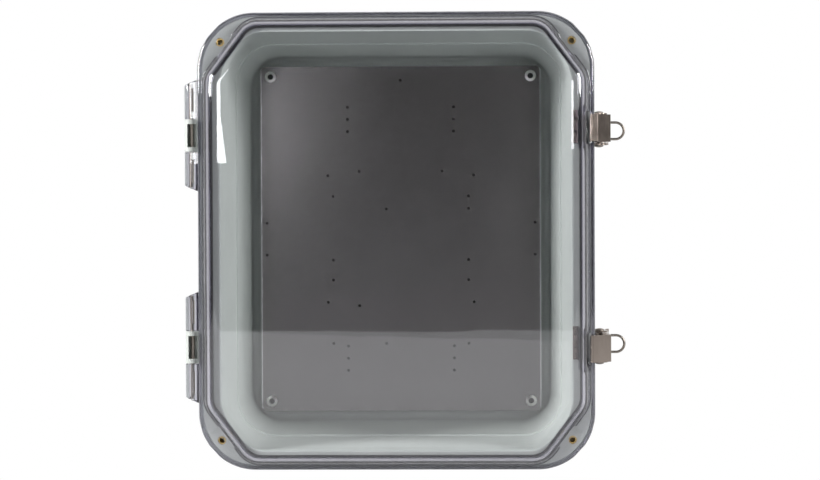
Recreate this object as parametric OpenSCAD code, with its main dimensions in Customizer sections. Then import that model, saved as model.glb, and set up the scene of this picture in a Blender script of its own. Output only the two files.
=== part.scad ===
// Weatherproof wall enclosure: grey moulded base, clear hinged cover, two over-centre latches
// and a drilled back panel. Millimetres. The part stands upright on a wall: +X is to the right,
// +Z is up and the cover faces -Y. The origin is the middle of the back face, on the wall.
// Every module below works in the moulding frame (x right, y up, z out of the wall), and
// upright() stands the result on the wall.

/* [Tub] */
// Width of the clear opening
open_w = 254; // [220:1:300]
// Height of the clear opening
open_h = 304.8; // [280:0.1:360]
// Corner radius of the clear opening
open_r = 34; // [32:0.5:36]
// Depth from the wall to the flange face
base_depth = 140; // [130:1:180]
// Wall thickness of the tub
wall = 4; // [3:0.1:4.5]
// Floor thickness of the tub
floor_t = 4; // [3:0.1:5]
// Depth of the wide upper stage of the tub
stage_depth = 65; // [60:1:75]
// Step in the wall below the upper stage
stage_step = 1.1; // [0.5:0.1:3]
// Lean of the wall over each stage
stage_lean = 4.3; // [2:0.1:5]
// Fillet inside the floor's edge
floor_fillet = 5; // [2:0.5:7]
// Rounding of the back edge
back_round = 3; // [1:0.5:4]

/* [Flange and rim] */
// Rim width beyond the opening, on the hinge and latch sides
side_margin = 16; // [15:0.1:18]
// Rim width beyond the opening, at top and bottom
end_margin = 12.6; // [12:0.1:16]
// Corner radius of the rim
rim_r = 41; // [38:0.5:44]
// Thickness of the flange
flange_t = 8; // [6:0.5:9]
// Thickness of the cover's rim
rim_t = 4; // [3:0.1:6]
// Thickness of the cover's skirt
skirt_t = 3; // [2.5:0.1:3.5]
// Gap between skirt and flange
skirt_gap = 0.5; // [0.4:0.1:0.8]
// Skirt's reach below the flange face
skirt_drop = 7; // [5:0.5:7]
// Thickness of the flange's lip behind the skirt
flange_lip_t = 6; // [4:0.5:6.5]
// Gap between the skirt's edge and the lip
flange_lip_gap = 0.6; // [0.5:0.1:1]
// Corner screws: inset from the rim's sides
corner_in_x = 16.2; // [15:0.1:17]
// Corner screws: inset from the rim's ends
corner_in_y = 21; // [20:0.1:22]

/* [Dome] */
// Height of the dome above the rim
dome_h = 25; // [20:0.5:40]
// Wall thickness of the dome
dome_t = 3.5; // [2.5:0.1:4]
// Ledge between the rim's edge and the dome's foot
dome_ledge = 3.7; // [3:0.1:5]
// Cut of the dome's corners along the width
cut_x = 31.5; // [30:0.5:34]
// Cut of the dome's corners along the height
cut_y = 42; // [40:0.5:48]
// Rounding of the dome's foot where sides and cuts meet
dome_r = 21; // [18:0.5:24]
// Lean of the dome's wall, degrees
dome_lean = 10; // [5:0.5:12]
// Radius of the dome's shoulder
shoulder_r = 12; // [8:0.5:13]
// Clearance of the dome round the corner screws
screw_room = 7.5; // [6:0.1:8.5]
// Length of the recess beside each corner screw
recess_l = 24; // [16:0.5:26]

/* [Seal] */
// Width of the gasket
gasket_w = 3; // [2:0.1:3.5]
// Depth of the gasket groove in the flange
groove_d = 1.5; // [1:0.1:2.5]
// Height of the gasket above the flange
gasket_proud = 3.5; // [2:0.1:4]
// Distance of the gasket inside the dome's foot
gasket_in = 1; // [0.8:0.1:1.4]

/* [Hinges] */
// Distance of the hinge centres from the rim's ends
hinge_in = 88; // [75:0.5:100]
// Distance of the hinge axis from the rim's edge
hinge_out = 6; // [5.8:0.1:8]
// Radius of the knuckles
knuckle_r = 5; // [4:0.1:5.4]
// Length of the base knuckle
base_knuckle_l = 23.2; // [18:0.2:28]
// Length of each cover knuckle
cover_knuckle_l = 29.5; // [20:0.5:34]
// Gap between knuckles
knuckle_gap = 0.4; // [0.3:0.1:1]
// Radius of the hinge pins
hinge_pin_r = 1.5; // [1:0.1:2]

/* [Latches] */
// Distance of the upper latch from the rim's top
upper_latch_in = 84.2; // [75:0.1:100]
// Distance of the lower latch from the rim's foot
lower_latch_in = 87; // [75:0.1:100]
// Distance of the upper backing plate from the rim's top
upper_plate_in = 83; // [75:0.1:100]
// Distance of the lower backing plate from the rim's foot
lower_plate_in = 91; // [75:0.1:100]
// Width of the claw
claw_w = 19.6; // [18:0.1:24]
// Thickness of the claw's sheet
claw_t = 1.2; // [0.8:0.1:1.4]
// Overlap of the claw on the rim
claw_reach = 3.7; // [2:0.1:3.7]
// Thickness of the lever's and bracket's sheet
lever_t = 1.2; // [0.8:0.1:1.5]
// Thickness of the bracket's sheet
bracket_t = 1.5; // [1:0.1:2]
// Sideways clearance between the latch's sheets
sheet_gap = 0.4; // [0.3:0.05:0.6]
// Radius of the lever's pin
lever_pin_r = 1.8; // [1.2:0.1:2.2]
// Radius of the claw's pin
claw_pin_r = 1.5; // [1:0.1:1.8]
// Radius of the padlock loop's wire
staple_wire_r = 0.95; // [0.8:0.05:1.2]
// Half the spacing of the padlock loop's legs
staple_half = 6.2; // [5.5:0.1:6.4]
// Reach of the padlock loop from the rim's edge
staple_reach = 26.5; // [22:0.5:30]
// Width of the plate on the flange beside each latch
backing_w = 5.8; // [4.6:0.1:6]
// Length of the plate on the flange beside each latch
backing_l = 24; // [20:0.5:28]

/* [Back panel] */
// Width of the panel
panel_w = 219.1; // [210:0.1:222]
// Height of the panel
panel_h = 269.9; // [260:0.1:272]
// Thickness of the panel
panel_t = 2; // [1:0.1:4]
// Corner radius of the panel
panel_r = 4; // [2:0.5:8]
// Spacing of the panel screws across
panel_screw_w = 203.2; // [190:0.1:208]
// Spacing of the panel screws upwards
panel_screw_h = 254; // [240:0.1:258]
// Height of the panel's posts above the floor
post_h = 9.5; // [9:0.5:20]
// Radius of the panel's drilled holes
drill_r = 1.1; // [0.8:0.1:1.6]

/* [Inserts and screws] */
// Spacing of the wall inserts across
wall_insert_w = 177.8; // [150:0.1:180]
// Spacing of the wall inserts upwards
wall_insert_h = 228.6; // [200:0.1:232]
// Outer radius of the small inserts
insert_r = 3.1; // [2.6:0.1:3.2]
// Length of the small inserts
insert_l = 8; // [6:0.5:8.5]
// Outer radius of the wall inserts
wall_insert_r = 3.6; // [3.3:0.1:4.2]
// Length of the wall inserts
wall_insert_l = 9; // [7:0.5:9.5]
// Bore radius of the wall inserts
wall_insert_bore = 2.5; // [2:0.1:2.8]
// Radius of the small screws
screw_r = 1.95; // [1.5:0.05:2.2]
// Head radius of the panel screws
panel_head_r = 4.3; // [3.5:0.1:5]
// Head height of the panel screws
panel_head_h = 2.6; // [2:0.1:4]

/* [Hidden] */
$fn = 96;
// Clearance of parts that are set in a hole
set_gap = 0.05;
// Running clearance of pins in the moving pieces
run_gap = 0.08;
// Clearance under the claws
claw_gap = 0.3;
// Overrun of a cut past the face that it opens
over = 1;
// Clearance of a screw in its hole
hole_gap = 0.2;

// The tub's walls are one profile swept round the corner centres of the opening
tub_cx = open_w / 2 - open_r;
tub_cy = open_h / 2 - open_r;
stage_z = base_depth - stage_depth;
upper_r = open_r - stage_lean;
lower_r = upper_r - stage_step;
floor_r = lower_r - stage_lean;

// Rim, skirt and flange
rim_x = open_w / 2 + side_margin;
rim_y = open_h / 2 + end_margin;
flange_in = skirt_t + skirt_gap;
rim_z0 = base_depth + gasket_proud;
rim_z = rim_z0 + rim_t;
dome_z = rim_z + dome_h;
skirt_z = base_depth - skirt_drop;
flange_lip_z = skirt_z - flange_lip_gap - flange_lip_t;
corner_x = rim_x - corner_in_x;
corner_y = rim_y - corner_in_y;

// Foot of the dome: an oblong with four cut corners, and the outward angle of a cut
foot_x = rim_x - dome_ledge;
foot_y = rim_y - dome_ledge;
cut_angle = atan2(cut_x, cut_y);
// Facets of the dome: along each round corner of its outline, and up its shoulder
arc_steps = 5;
shoulder_steps = 8;

// Hinges: the axis, the knuckles' ends and the windows in front of the pins
axis_drop = 1;
window_end = 3.2;
window_out = 1.1;
window_in = 2.3;
gusset_h = 9;
knuckle_top = 0.4;
knuckle_slope = 5;
slot_x = 0.4;
slot_w = 2.2;
pin_inset = 4;
axis_x = -rim_x - hinge_out;
axis_z = skirt_z - axis_drop;
hinge_y = rim_y - hinge_in;
knuckle_end = base_knuckle_l / 2 + knuckle_gap + cover_knuckle_l;
hinge_window_l = base_knuckle_l - 2 * window_end;
window_x = -hinge_pin_r - window_out;
window_w = 2 * hinge_pin_r + window_out + window_in;

// Latch sheets, from the middle of the latch outwards
claw_half = claw_w / 2;
lever_half = claw_half;
tab_half = lever_half - lever_t - sheet_gap;
ear_in = lever_half + sheet_gap;
ear_out = ear_in + bracket_t;
rivet_h = 1.6;

// Room round a claw in the side of the dome, sideways and past its tip
claw_room = 1.7;
claw_tip_room = 3.6;

// Latch places in the plane of its swing: the lever's pin from the rim's edge and face
pivot_out = 5;
pivot_drop = 29.5;
pivot_x = rim_x + pivot_out;
pivot_z = rim_z - pivot_drop;
// The claw's pin from the lever's pin
hook_out = 1.5;
hook_drop = 6.5;
hook_x = pivot_x + hook_out;
hook_z = pivot_z - hook_drop;
// Outer face and hook of the claw, with a slanted face between them
claw_out = 12;
claw_slant = 9.5;
neck_l = 16;
eye_r = 3.6;
tip_r = 1.1;
claw_x = rim_x + claw_out;
claw_z = rim_z + claw_gap;
neck_z = hook_z + neck_l;
// Web of the lever, with its lip, and the slot for the padlock loop
lever_proud = 0.3;
web_drop = 22;
web_l = 26;
lever_lip_l = 6;
lever_lip_turn = 35;
flange_low_w = 4;
flange_top_in = 3;
staple_drop = 30;
slot_rise = 3.5;
slot_fall = 10;
slot_room = 0.75;
lever_x = claw_x + lever_proud;
web_top = pivot_z - web_drop;
web_end = web_top - web_l;
staple_z = pivot_z - staple_drop;
slot_half = staple_half + staple_wire_r + slot_room;

// Latch seat on the wall, the bracket on it, and the screws with their moulded-in nuts
pad_t = 1;
pad_side = 4;
pad_foot = 8;
plate_foot = 6;
ear_r = 6;
ear_turn = 20;
ear_foot = 15;
lever_eye_r = 5.5;
latch_screw_drop = 14;
latch_screw_y = 5.5;
latch_head_r = 3.8;
latch_head_h = 2.2;
nut_r = 4;
nut_h = 2.4;
nut_cover = 1.8;
screw_end = 0.6;
pad_x = tub_cx + open_r + wall + pad_t;
pad_half = ear_out + pad_side;
pad_z = staple_z - pad_foot;
plate_z0 = staple_z - plate_foot;
plate_z1 = pivot_z + ear_r;
latch_screw_z = pivot_z - latch_screw_drop;
nut_x = pad_x - nut_cover - nut_h;
upper_latch_y = rim_y - upper_latch_in;
lower_latch_y = lower_latch_in - rim_y;
latch_ys = [upper_latch_y, lower_latch_y];

// Plates on the flange, beside the latches, and their screws
backing_t = 1;
backing_edge = 0.5;
backing_screw_y = 4.7;
backing_screw_r = 1.2;
backing_screw_l = 6;
backing_head_r = 2.2;
backing_head_h = 1.5;
backing_x = open_w / 2 + backing_edge;
upper_plate_y = rim_y - upper_plate_in;
lower_plate_y = lower_plate_in - rim_y;

// Panel and posts, and the hexagon socket of the panel screws
socket_r = 2.1;
socket_d = 1.9;
panel_z = floor_t + post_h;
post_wall = 2.9;
wall_boss_gap = 2;
corner_boss_wall = 2.1;
corner_boss_l = 22;
post_r = insert_r + post_wall;
wall_boss_r = wall_insert_r + post_wall;
wall_boss_z = panel_z - wall_boss_gap;
corner_boss_r = insert_r + corner_boss_wall;

// Drilled holes of the panel, from its middle: two columns of three at each end, and the rest
column_x = 41.5;
column_y = [84, 93.5, 103];
drill_pairs = [[57.1, 49.6], [57.1, -49.6], [53, 33.3], [53, -16.5], [53, -32.2], [53, -82],
    [105, 12.5], [105, -12.5]];
drill_single = [[-32.5, 52.8], [32.5, 52.8], [-32.5, -52.3], [-11.3, 23.3], [53, 23.6], [-11.5, -82],
    [0, 124]];

GREY = [0.72, 0.73, 0.72];
CLEAR = [0.86, 0.90, 0.90, 0.35];
STEEL = [0.70, 0.69, 0.67];
ALUMINIUM = [0.55, 0.54, 0.54];
BRASS = [0.78, 0.62, 0.32];
RUBBER = [0.16, 0.16, 0.17];

// From the moulding frame to the wall
module upright() {
    rotate([90, 0, 0]) children();
}

// Copies at the four corners of an oblong, mirrored so that each faces its own corner
module four_corners(x, y) {
    for (mx = [0, 1], my = [0, 1]) {
        mirror([mx, 0, 0]) mirror([0, my, 0]) translate([x, y, 0]) children();
    }
}

// Flat oblong with round corners
module round_oblong(hx, hy, r) {
    square([2 * hx, 2 * hy - 2 * r], center = true);
    square([2 * hx - 2 * r, 2 * hy], center = true);
    for (sx = [-1, 1], sy = [-1, 1]) translate([sx * (hx - r), sy * (hy - r)]) circle(r);
}

// Solid oblong whose side has the profile drawn by children(), in radius and height
module swept_oblong(cx, cy, z0, z1) {
    translate([-cx, -cy, z0]) cube([2 * cx, 2 * cy, z1 - z0]);
    for (turn = [0, 180]) rotate(turn) {
        translate([cx, cy, 0]) rotate([90, 0, 0]) linear_extrude(2 * cy) children();
        translate([-cx, cy, 0]) rotate([90, 0, 90]) linear_extrude(2 * cx) children();
        translate([cx, cy, 0]) rotate_extrude(angle = 90) children();
        translate([-cx, cy, 0]) rotate(90) rotate_extrude(angle = 90) children();
    }
}

// Profiles of the tub's outside and inside
module tub_outside() {
    polygon([
        [0, 0],
        [floor_r + wall - back_round, 0],
        [floor_r + wall, back_round],
        [lower_r + wall, stage_z - wall],
        [upper_r + wall, stage_z - wall + stage_step],
        [open_r + wall, base_depth],
        [0, base_depth]
    ]);
    translate([floor_r + wall - back_round, back_round]) circle(back_round);
}

module tub_inside() {
    polygon([
        [0, floor_t],
        [floor_r - floor_fillet, floor_t],
        [floor_r, floor_t + floor_fillet],
        [lower_r, stage_z],
        [upper_r, stage_z],
        [open_r, base_depth],
        [open_r, base_depth + over],
        [0, base_depth + over]
    ]);
    translate([floor_r - floor_fillet, floor_t + floor_fillet]) circle(floor_fillet);
}

// Corner of a cut-corner oblong after it shrinks by "in": where side and cut meet, then cut and end
function cut_line(x, y, in) = cut_y * x + cut_x * y - cut_x * cut_y - in * norm([cut_x, cut_y]);
function side_corner(x, y, in) = [x - in, (cut_line(x, y, in) - cut_y * (x - in)) / cut_x];
function end_corner(x, y, in) = [(cut_line(x, y, in) - cut_x * (y - in)) / cut_y, y - in];

// Outline of the same cut-corner oblong with round corners, "in" inside the dome's foot
module foot_outline(in) {
    r = dome_r - in;
    side = side_corner(foot_x, foot_y, dome_r);
    end = end_corner(foot_x, foot_y, dome_r);
    out = r * [cos(cut_angle), sin(cut_angle)];
    square([2 * (side.x + r), 2 * side.y], center = true);
    square([2 * end.x, 2 * (end.y + r)], center = true);
    for (mx = [0, 1], my = [0, 1]) mirror([mx, 0]) mirror([0, my]) {
        polygon([[0, 0], [side.x, 0], side, side + out, end + out, end, [0, end.y]]);
        translate(side) circle(r);
        translate(end) circle(r);
    }
}

// The same outline as a ring of points at height z, with arc_steps facets on each round corner
function foot_ring(in, z) = let(
    side = side_corner(foot_x, foot_y, dome_r),
    end = end_corner(foot_x, foot_y, dome_r),
    turns = [0, cut_angle, 90, 180 - cut_angle, 180, 180 + cut_angle, 270, 360 - cut_angle, 360],
    mids = [side, end, [-end.x, end.y], [-side.x, side.y], -side, -end, [end.x, -end.y], [side.x, -side.y]]
) [
    for (k = [0:7], i = [0:arc_steps])
        let(a = turns[k] + (turns[k + 1] - turns[k]) * i / arc_steps)
        [mids[k].x + (dome_r - in) * cos(a), mids[k].y + (dome_r - in) * sin(a), z]
];

// Solid skin over a stack of rings, from the lowest ring to the highest
module loft(rings) {
    n = len(rings[0]);
    top = len(rings) - 1;
    polyhedron(
        points = [for (r = rings) each r],
        faces = concat(
            [[for (i = [0:n - 1]) i], [for (i = [n - 1:-1:0]) top * n + i]],
            [for (k = [0:top - 1], i = [0:n - 1])
                [k * n + i, k * n + i + n, k * n + (i + 1) % n + n, k * n + (i + 1) % n]]
        )
    );
}

// Dome from z0 up, "in" inside its outer face: leaning wall and round shoulder
module dome_solid(in, z0) {
    mid_z = dome_z - shoulder_r;
    mid_in = (mid_z - rim_z) * tan(dome_lean) + shoulder_r / cos(dome_lean);
    foot_in = in / cos(dome_lean) - (rim_z - z0) * tan(dome_lean);
    bend = shoulder_r - in;
    loft(concat(
        [foot_ring(foot_in, z0)],
        [for (i = [0:shoulder_steps])
            let(a = dome_lean + (90 - dome_lean) * i / shoulder_steps)
            foot_ring(mid_in - bend * cos(a), mid_z + bend * sin(a))]
    ));
}

// Room round a corner screw, from z0 up and "grow" larger than the recess in the dome
module screw_recess(grow, z0) {
    long = recess_l + 2 * grow;
    rotate(cut_angle) translate([-screw_room - grow, -long / 2, z0])
        cube([4 * screw_room, long, dome_z - z0 + over]);
}

// Room for the claws' tips in the side of the dome, from z0 up and "grow" larger than the recess
module claw_recess(grow, z0) {
    half = claw_half + claw_room + grow;
    deep = rim_x - claw_reach - claw_tip_room - grow;
    for (y = latch_ys) translate([deep, y - half, z0]) cube([rim_x, 2 * half, dome_z - z0 + over]);
}

module dome_outside() {
    difference() {
        dome_solid(0, rim_z0 + over);
        four_corners(corner_x, corner_y) screw_recess(0, rim_z0);
        claw_recess(0, rim_z0);
    }
}

module dome_inside() {
    difference() {
        dome_solid(dome_t, rim_z0 - over);
        four_corners(corner_x, corner_y) screw_recess(dome_t, rim_z0 - 2 * over);
        claw_recess(dome_t, rim_z0 - 2 * over);
    }
}

// Places each hinge's children on its middle
module at_hinges() {
    for (s = [-1, 1]) translate([axis_x, s * hinge_y, axis_z]) children();
}

// Hole of a hinge along y
module hinge_bore(r) {
    rotate([90, 0, 0]) cylinder(r = r, h = 2 * knuckle_end + 2 * over, center = true);
}

// Middle knuckle on its arm, with a window in front that shows the pin
module base_knuckle() {
    arm = hinge_out + side_margin - wall + over;
    difference() {
        rotate([90, 0, 0]) linear_extrude(base_knuckle_l, center = true) {
            circle(knuckle_r);
            polygon([[0, -knuckle_r], [arm, -knuckle_r - gusset_h], [arm, knuckle_top], [0, knuckle_top]]);
        }
        translate([window_x, -hinge_window_l / 2, -hinge_pin_r - over])
            cube([window_w, hinge_window_l, 2 * knuckle_r]);
        hinge_bore(hinge_pin_r + set_gap);
    }
}

// Two outer knuckles on the skirt, each with a slanted end and a slot beside the pin
module cover_knuckles() {
    start = base_knuckle_l / 2 + knuckle_gap;
    root = hinge_out + skirt_t / 2;
    difference() {
        for (my = [0, 1]) mirror([0, my, 0]) intersection() {
            rotate([-90, 0, 0]) linear_extrude(knuckle_end) {
                circle(knuckle_r);
                translate([0, -knuckle_r]) square([root, knuckle_r - axis_drop]);
            }
            linear_extrude(4 * knuckle_r, center = true) polygon([
                [-knuckle_r, start],
                [root, start],
                [root, knuckle_end],
                [-knuckle_r, knuckle_end - knuckle_slope]
            ]);
        }
        for (s = [-1, 1]) translate([0, s * (start + cover_knuckle_l / 2 - over), 0])
            translate([slot_x, -hinge_window_l / 2, -hinge_pin_r])
                cube([slot_w, hinge_window_l, 2 * knuckle_r]);
        hinge_bore(hinge_pin_r + run_gap);
    }
}

// Tub with its flange and bosses, before the cavity is cut
module base_body() {
    swept_oblong(tub_cx, tub_cy, 0, base_depth) tub_outside();
    translate([0, 0, base_depth - flange_t]) linear_extrude(flange_t)
        round_oblong(rim_x - flange_in, rim_y - flange_in, rim_r - flange_in);
    translate([0, 0, flange_lip_z]) linear_extrude(flange_lip_t) round_oblong(rim_x, rim_y, rim_r);
    four_corners(corner_x, corner_y) translate([0, 0, base_depth - corner_boss_l]) {
        cylinder(r = corner_boss_r, h = corner_boss_l);
        rotate(cut_angle) translate([-3 * corner_boss_r, -corner_boss_r / 2, 0])
            cube([3 * corner_boss_r, corner_boss_r, corner_boss_l]);
    }
    for (y = latch_ys) translate([tub_cx + floor_r, y - pad_half, pad_z])
        cube([pad_x - tub_cx - floor_r, 2 * pad_half, flange_lip_z + over - pad_z]);
    at_hinges() base_knuckle();
}

// Posts inside the tub
module base_inner() {
    four_corners(panel_screw_w / 2, panel_screw_h / 2) cylinder(r = post_r, h = panel_z);
    four_corners(wall_insert_w / 2, wall_insert_h / 2) cylinder(r = wall_boss_r, h = wall_boss_z);
}

module enclosure_base() {
    color(GREY) upright() difference() {
        union() {
            difference() {
                base_body();
                swept_oblong(tub_cx, tub_cy, floor_t, base_depth + over) tub_inside();
            }
            base_inner();
        }
        translate([0, 0, base_depth - groove_d]) linear_extrude(groove_d + over) difference() {
            foot_outline(gasket_in - 2 * set_gap);
            foot_outline(gasket_in + gasket_w + 2 * set_gap);
        }
        four_corners(corner_x, corner_y) translate([0, 0, base_depth - insert_l - over])
            cylinder(r = insert_r + set_gap, h = insert_l + 2 * over);
        four_corners(panel_screw_w / 2, panel_screw_h / 2) translate([0, 0, panel_z - insert_l])
            cylinder(r = insert_r + set_gap, h = insert_l + over);
        four_corners(wall_insert_w / 2, wall_insert_h / 2) translate([0, 0, -over])
            cylinder(r = wall_insert_r + set_gap, h = wall_insert_l + over);
        at_latch_screws() translate([0, 0, nut_x - screw_end - set_gap])
            cylinder(r = screw_r + hole_gap, h = pad_x - nut_x + screw_end + over);
        at_latch_screws() translate([0, 0, nut_x - set_gap])
            cylinder(r = nut_r + set_gap, h = nut_h + 2 * set_gap, $fn = 6);
        at_backing_screws() translate([0, 0, base_depth + backing_t - backing_screw_l - set_gap])
            cylinder(r = backing_screw_r + set_gap, h = backing_screw_l + over);
    }
}

module cover() {
    color(CLEAR) upright() difference() {
        union() {
            difference() {
                translate([0, 0, skirt_z]) linear_extrude(rim_z - skirt_z)
                    round_oblong(rim_x, rim_y, rim_r);
                translate([0, 0, skirt_z - over]) linear_extrude(rim_z0 - skirt_z + over)
                    round_oblong(rim_x - skirt_t, rim_y - skirt_t, rim_r - skirt_t);
            }
            dome_outside();
            at_hinges() cover_knuckles();
        }
        dome_inside();
        four_corners(corner_x, corner_y) translate([0, 0, rim_z0 - over])
            cylinder(r = screw_r + 2 * hole_gap, h = rim_t + 2 * over);
    }
}

module gasket() {
    color(RUBBER) upright() translate([0, 0, base_depth - groove_d])
        linear_extrude(groove_d + gasket_proud) difference() {
            foot_outline(gasket_in);
            foot_outline(gasket_in + gasket_w);
        }
}

module back_panel() {
    color(ALUMINIUM) upright() translate([0, 0, panel_z]) linear_extrude(panel_t) difference() {
        round_oblong(panel_w / 2, panel_h / 2, panel_r);
        for (sx = [-1, 1], sy = [-1, 1]) {
            translate([sx * panel_screw_w / 2, sy * panel_screw_h / 2]) circle(screw_r + 2 * hole_gap);
            for (y = column_y) translate([sx * column_x, sy * y]) circle(drill_r);
        }
        for (p = drill_pairs, sx = [-1, 1]) translate([sx * p.x, p.y]) circle(drill_r);
        for (p = drill_single) translate(p) circle(drill_r);
    }
}

// Domed screw head and shank, pointing to -z with its seat at zero
module dome_screw(head_r, head_h, r, long) {
    intersection() {
        cylinder(r = head_r, h = head_h);
        translate([0, 0, head_h - 2 * head_r]) sphere(2 * head_r);
    }
    translate([0, 0, -long]) cylinder(r = r, h = long + head_h / 2);
}

module panel_screws() {
    color(STEEL) upright() four_corners(panel_screw_w / 2, panel_screw_h / 2)
        translate([0, 0, panel_z + panel_t]) difference() {
            dome_screw(panel_head_r, panel_head_h, screw_r, panel_t + insert_l - over);
            translate([0, 0, panel_head_h - socket_d]) cylinder(r = socket_r, h = socket_d + over, $fn = 6);
        }
}

// Brass insert with its mouth at zero, going down to -z
module insert(r, bore, long) {
    waist = 0.5;
    translate([0, 0, -long]) difference() {
        cylinder(r = r, h = long);
        translate([0, 0, -over]) cylinder(r = bore, h = long + 2 * over);
        translate([0, 0, long / 2]) rotate_extrude() translate([r, 0]) circle(waist);
    }
}

module panel_inserts() {
    color(BRASS) upright() four_corners(panel_screw_w / 2, panel_screw_h / 2)
        translate([0, 0, panel_z]) insert(insert_r, screw_r + set_gap, insert_l);
}

module flange_inserts() {
    color(BRASS) upright() four_corners(corner_x, corner_y)
        translate([0, 0, base_depth]) insert(insert_r, screw_r + set_gap, insert_l);
}

module wall_inserts() {
    color(BRASS) upright() four_corners(wall_insert_w / 2, wall_insert_h / 2)
        mirror([0, 0, 1]) insert(wall_insert_r, wall_insert_bore, wall_insert_l);
}

// Hinge pin, "s" is 1 for the upper hinge and -1 for the lower one
module hinge_pin(s) {
    color(STEEL) upright() translate([axis_x, s * hinge_y, axis_z]) rotate([90, 0, 0])
        cylinder(r = hinge_pin_r, h = 2 * (knuckle_end - pin_inset), center = true);
}

// Turns a drawing of the latch's swing, x out and y forward, into a sheet "half" to each side
module across(inner, outer) {
    for (my = [0, 1]) mirror([0, my, 0])
        translate([0, outer, 0]) rotate([90, 0, 0]) linear_extrude(outer - inner) children();
}

module across_all(half) {
    translate([0, half, 0]) rotate([90, 0, 0]) linear_extrude(2 * half) children();
}

// Pin along the latch's width
module cross_pin(x, z, r, half) {
    translate([x, 0, z]) rotate([90, 0, 0]) cylinder(r = r, h = 2 * half, center = true);
}

// Screws of both latches, with their axes along x turned onto +z
module at_latch_screws() {
    for (y = latch_ys, s = [-1, 1])
        translate([0, y + s * latch_screw_y, latch_screw_z]) rotate([0, 90, 0]) children();
}

// Bracket: a plate on the wall with an ear on each side for the lever's pin
module latch_bracket(y) {
    color(STEEL) upright() translate([0, y, 0]) difference() {
        union() {
            translate([pad_x, -ear_out, plate_z0])
                cube([bracket_t, 2 * ear_out, plate_z1 - plate_z0]);
            across(ear_in, ear_out) {
                translate([pivot_x, pivot_z]) circle(ear_r);
                polygon([
                    [pad_x, pivot_z + ear_r],
                    [pivot_x, pivot_z + ear_r],
                    [pivot_x, pivot_z],
                    [pivot_x - ear_r * sin(ear_turn), pivot_z - ear_r * cos(ear_turn)],
                    [pad_x, pivot_z - ear_foot]
                ]);
            }
        }
        cross_pin(pivot_x, pivot_z, lever_pin_r + set_gap, ear_out + over);
        for (s = [-1, 1]) translate([pad_x - over, 0, 0]) rotate([0, 90, 0]) {
            translate([-latch_screw_z, s * latch_screw_y, 0])
                cylinder(r = screw_r + hole_gap, h = bracket_t + 2 * over);
            translate([-staple_z, s * staple_half, 0])
                cylinder(r = staple_wire_r + set_gap, h = bracket_t + 2 * over);
        }
    }
}

// Padlock loop: two straight legs and a half round of wire
module latch_staple(y) {
    bend_x = rim_x + staple_reach - staple_wire_r - staple_half;
    color(STEEL) upright() translate([0, y, staple_z]) {
        for (s = [-1, 1]) translate([pad_x + set_gap, s * staple_half, 0]) rotate([0, 90, 0])
            cylinder(r = staple_wire_r, h = bend_x - pad_x - set_gap);
        translate([bend_x, 0, 0]) rotate(-90) rotate_extrude(angle = 180)
            translate([staple_half, 0]) circle(staple_wire_r);
    }
}

// Screws of both plates on the flange
module at_backing_screws() {
    for (y = [upper_plate_y, lower_plate_y], s = [-1, 1])
        translate([backing_x + backing_w / 2, y + s * backing_screw_y, 0]) children();
}

module backing_plate(y) {
    color(STEEL) upright() difference() {
        translate([backing_x, y - backing_l / 2, base_depth]) cube([backing_w, backing_l, backing_t]);
        at_backing_screws() translate([0, 0, base_depth - over])
            cylinder(r = backing_screw_r + set_gap, h = backing_t + 2 * over);
    }
}

module backing_screws() {
    color(STEEL) upright() at_backing_screws() translate([0, 0, base_depth + backing_t])
        dome_screw(backing_head_r, backing_head_h, backing_screw_r, backing_screw_l);
}

module latch_screws() {
    seat = pad_x + bracket_t;
    color(STEEL) upright() at_latch_screws() translate([0, 0, seat])
        dome_screw(latch_head_r, latch_head_h, screw_r, seat - nut_x + screw_end);
}

module latch_nuts() {
    color(STEEL) upright() at_latch_screws() translate([0, 0, nut_x]) difference() {
        cylinder(r = nut_r, h = nut_h, $fn = 6);
        translate([0, 0, -over]) cylinder(r = screw_r + set_gap, h = nut_h + 2 * over);
    }
}

// Lever: two side flanges on the pins, and a web below with the slot for the padlock loop
module latch_lever(y) {
    back = lever_x - lever_t - lever_proud;
    lip = lever_lip_l * [sin(lever_lip_turn), -cos(lever_lip_turn)];
    color(STEEL) upright() translate([0, y, 0]) difference() {
        union() {
            across(lever_half - lever_t, lever_half) {
                translate([pivot_x, pivot_z]) circle(lever_eye_r);
                polygon([
                    [pivot_x - lever_eye_r, pivot_z],
                    [pivot_x + lever_eye_r, pivot_z],
                    [lever_x, hook_z],
                    [lever_x, web_end],
                    [lever_x - flange_low_w, web_end],
                    [hook_x - flange_top_in, web_top]
                ]);
            }
            difference() {
                across_all(lever_half) {
                    translate([back, web_end]) square([lever_x - back, web_top - web_end]);
                    polygon([
                        [back, web_end],
                        [lever_x, web_end],
                        [lever_x, web_end] + lip,
                        [back, web_end] + lip
                    ]);
                }
                translate([back - over, -slot_half, staple_z - slot_fall])
                    cube([lever_x - back + 2 * over, 2 * slot_half, slot_rise + slot_fall]);
            }
        }
        cross_pin(pivot_x, pivot_z, lever_pin_r + run_gap, lever_half + over);
        cross_pin(hook_x, hook_z, claw_pin_r + set_gap, lever_half + over);
    }
}

// Lever's pin through the ears, with a rivet head at each end
module lever_pin(y) {
    color(STEEL) upright() translate([0, y, 0]) {
        cross_pin(pivot_x, pivot_z, lever_pin_r, ear_out + rivet_h / 2);
        for (my = [0, 1]) mirror([0, my, 0]) translate([pivot_x, ear_out, pivot_z])
            rotate([-90, 0, 0]) intersection() {
                cylinder(r = 1.8 * lever_pin_r, h = rivet_h);
                translate([0, 0, rivet_h - 4 * lever_pin_r]) sphere(4 * lever_pin_r);
            }
    }
}

// Strip of sheet along a path, with a round bend at each point
module sheet(path, t) {
    for (i = [0:len(path) - 2]) hull() {
        translate(path[i]) circle(d = t, $fn = 24);
        translate(path[i + 1]) circle(d = t, $fn = 24);
    }
}

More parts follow.
